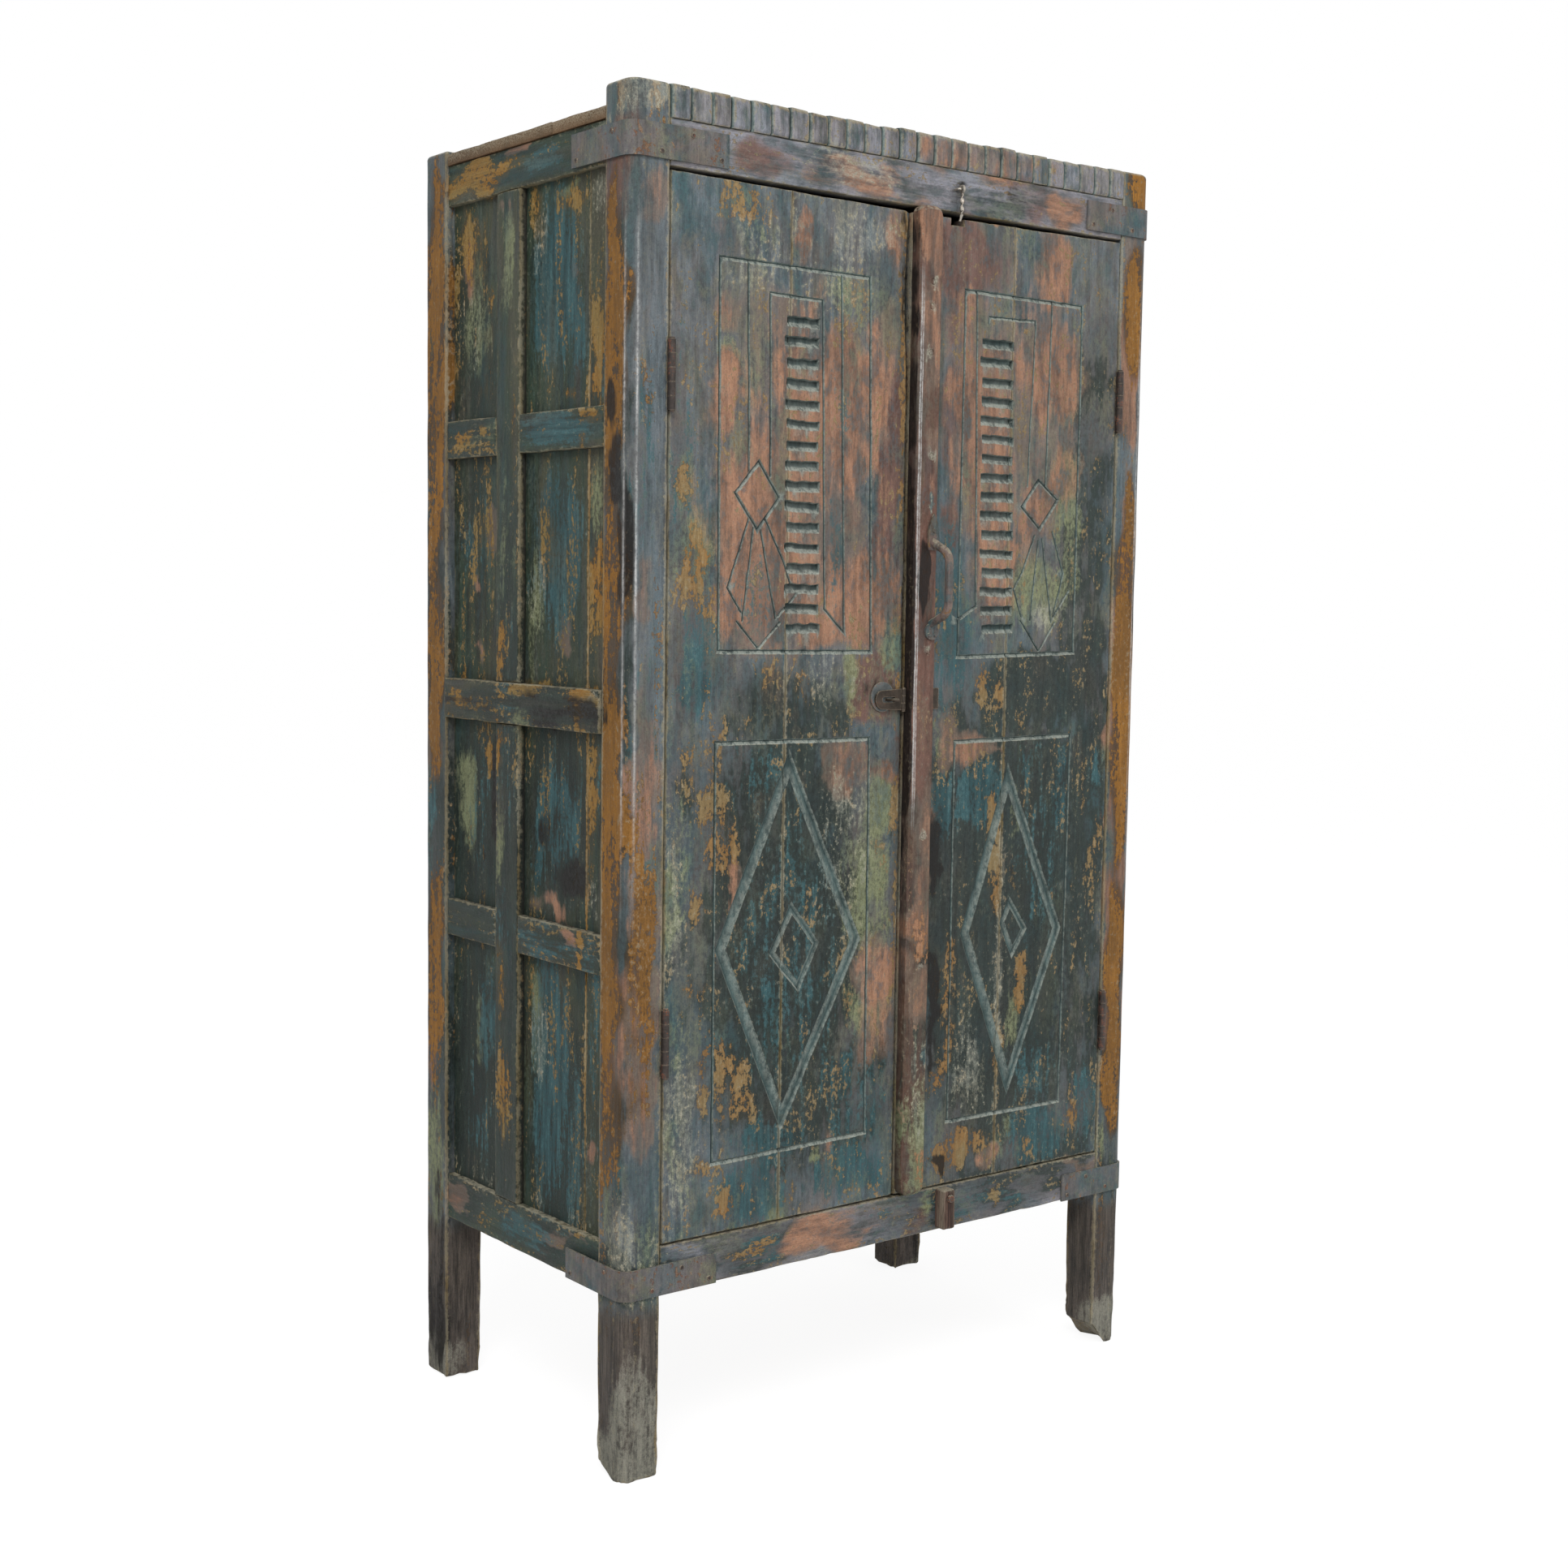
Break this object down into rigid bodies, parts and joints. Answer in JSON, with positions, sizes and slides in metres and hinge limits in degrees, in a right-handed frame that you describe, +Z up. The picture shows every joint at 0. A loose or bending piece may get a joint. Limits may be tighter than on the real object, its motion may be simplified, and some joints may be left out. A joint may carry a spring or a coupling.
{
  "type": "two-door plank cupboard",
  "caption": "Tall painted plank cupboard on legs with hinged carved doors, inside shelves, reeded frieze, iron corner straps, bow handle, hasp, hook and turn button.",
  "frame": {"origin": "on the floor, middle of the overall width and depth", "axes": "+X to the right facing the doors, +Y from the doors to the back, +Z up"},
  "size_m": [0.9564, 0.594, 1.82],
  "materials": {
    "post_paint": "worn slate-blue and brown paint over orange-brown wood",
    "front_paint": "worn slate-blue paint with teal and ochre chips",
    "side_paint": "worn teal and green paint with ochre streaks",
    "door_paint": "layered terracotta, teal and slate paint, chipped, pale dust in the carving",
    "strip_paint": "worn purple-brown and salmon paint with bright arrises",
    "inside_wood": "plain dry sawn wood",
    "top_wood": "dusty dry sawn wood",
    "button_wood": "dark weathered wood",
    "strap_iron": "dark painted iron strap, dusty edges",
    "nail_iron": "worn iron nail and screw heads",
    "handle_iron": "painted iron, chipped to rust on the grip",
    "hinge_iron": "dark brown iron with bright worn edges",
    "hasp_iron": "dark brassy brown iron with bright worn edges",
    "rosette_iron": "grey-blue painted iron plate",
    "hook_steel": "bright twisted steel"
  },
  "bodies": {
    "carcass": {"back_boards": "inside_wood", "bottom_boards": "inside_wood", "bottom_rail_back": "inside_wood", "bottom_rail_front": "front_paint", "frieze": "front_paint", "hinge_leaves_carcass": "hinge_iron", "hinge_pins": "hinge_iron", "left_side_board_back": "side_paint", "left_side_board_front": "side_paint", "left_side_board_middle": "side_paint", "left_side_bottom_rail": "side_paint", "left_side_middle_rail": "side_paint", "left_side_short_rails_back": "side_paint", "left_side_short_rails_front": "side_paint", "left_side_stiles": "side_paint", "left_side_top_rail": "side_paint", "post_back_left": "post_paint", "post_back_right": "post_paint", "post_front_left": "post_paint", "post_front_right": "post_paint", "rail_staple": "hook_steel", "right_side_board_back": "side_paint", "right_side_board_front": "side_paint", "right_side_board_middle": "side_paint", "right_side_bottom_rail": "side_paint", "right_side_middle_rail": "side_paint", "right_side_short_rails_back": "side_paint", "right_side_short_rails_front": "side_paint", "right_side_stiles": "side_paint", "right_side_top_rail": "side_paint", "shelf_cleats": "inside_wood", "shelf_lower": "inside_wood", "shelf_middle": "inside_wood", "shelf_upper": "inside_wood", "strap_bottom_left": "strap_iron", "strap_bottom_right": "strap_iron", "strap_nails": "nail_iron", "strap_top_left": "strap_iron", "strap_top_right": "strap_iron", "top_boards": "top_wood", "top_rail_back": "inside_wood", "top_rail_front": "front_paint", "turn_button_screw": "nail_iron"},
    "left_door": {"left_door_battens": "inside_wood", "left_door_hinge_board": "door_paint", "left_door_meeting_board": "door_paint", "left_door_rosette": "rosette_iron", "left_door_staple": "hasp_iron", "hinge_leaves_left": "hinge_iron"},
    "right_door": {"right_door_battens": "inside_wood", "right_door_cover_strip": "strip_paint", "right_door_handle": "handle_iron", "right_door_hinge_board": "door_paint", "right_door_meeting_board": "door_paint", "hinge_leaves_right": "hinge_iron", "hasp_fixed_leaf": "hasp_iron", "hasp_pin": "hasp_iron"},
    "hasp": {"hasp_leaf": "hasp_iron"},
    "hook": {"hook": "hook_steel"},
    "turn_button": {"turn_button": "button_wood"}
  },
  "joints": [
    {"name": "right_door_swing", "type": "hinge", "parent": "carcass", "child": "right_door", "pos_m": [0.413, -0.2405, 1.001], "axis": [0, 0, 1], "range_deg": [0, 170]},
    {"name": "left_door_swing", "type": "hinge", "parent": "carcass", "child": "left_door", "pos_m": [-0.413, -0.2405, 1.001], "axis": [0, 0, -1], "range_deg": [0, 136]},
    {"name": "hasp_swing", "type": "hinge", "parent": "right_door", "child": "hasp", "pos_m": [-0.01, -0.24, 1.033], "axis": [0, 0, 1], "range_deg": [0, 95]},
    {"name": "hook_swing", "type": "hinge", "parent": "carcass", "child": "hook", "pos_m": [0.08, -0.242, 1.749], "axis": [-1, 0, 0], "range_deg": [0, 120]},
    {"name": "turn_button_swing", "type": "hinge", "parent": "carcass", "child": "turn_button", "pos_m": [0.0875, -0.2453, 0.3], "axis": [0, -1, 0], "range_deg": [0, 180]}
  ],
  "couplings": [
    {"joint": "left_door_swing", "follows": "right_door_swing", "ratio": 0.8}
  ]
}
